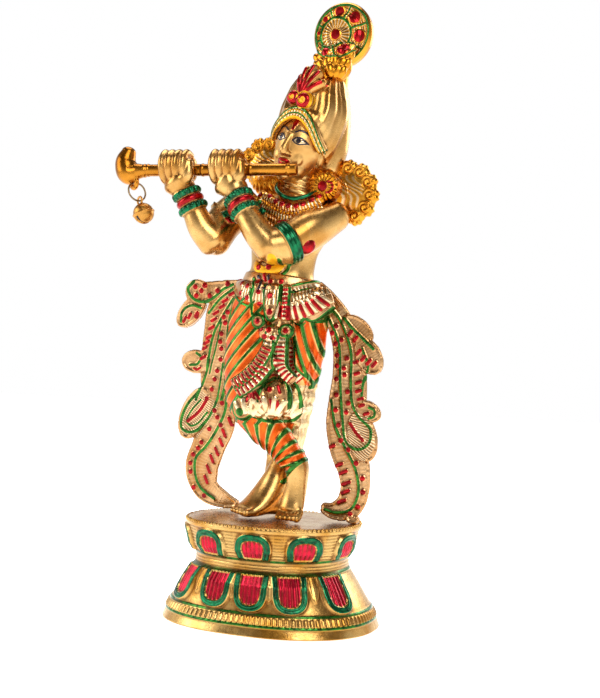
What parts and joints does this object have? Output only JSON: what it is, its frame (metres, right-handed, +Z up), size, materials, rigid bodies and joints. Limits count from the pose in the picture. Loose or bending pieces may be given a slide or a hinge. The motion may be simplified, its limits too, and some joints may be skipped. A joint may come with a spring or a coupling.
{
  "type": "cast metal flute player figure on a lotus plinth",
  "caption": "Cast flute player with crossed legs, peacock plume and flowing sash ends, standing on an oval lotus plinth, with a ring and small bell on the flute.",
  "frame": {"origin": "middle of the plinth's foot, on its flat underside", "axes": "+Z up through the figure, -Y towards the front that the figure faces, +X towards the figure's left hand side"},
  "size_m": [0.1201, 0.0768, 0.2695],
  "materials": {
    "base_enamelled_metal": "pale gold plate with dark green and pink-red enamel petals",
    "figure_enamelled_metal": "pale gold plate with green, red and orange enamel",
    "flute_gilt": "deep orange gold plate, polished",
    "ring_wire": "drawn wire, dull",
    "bell_brass": "stamped brass, satin"
  },
  "bodies": {
    "root": {"lotus_base": "base_enamelled_metal", "figure": "figure_enamelled_metal", "flute": "flute_gilt", "bell_ring": "ring_wire", "bell": "bell_brass"}
  },
  "joints": []
}
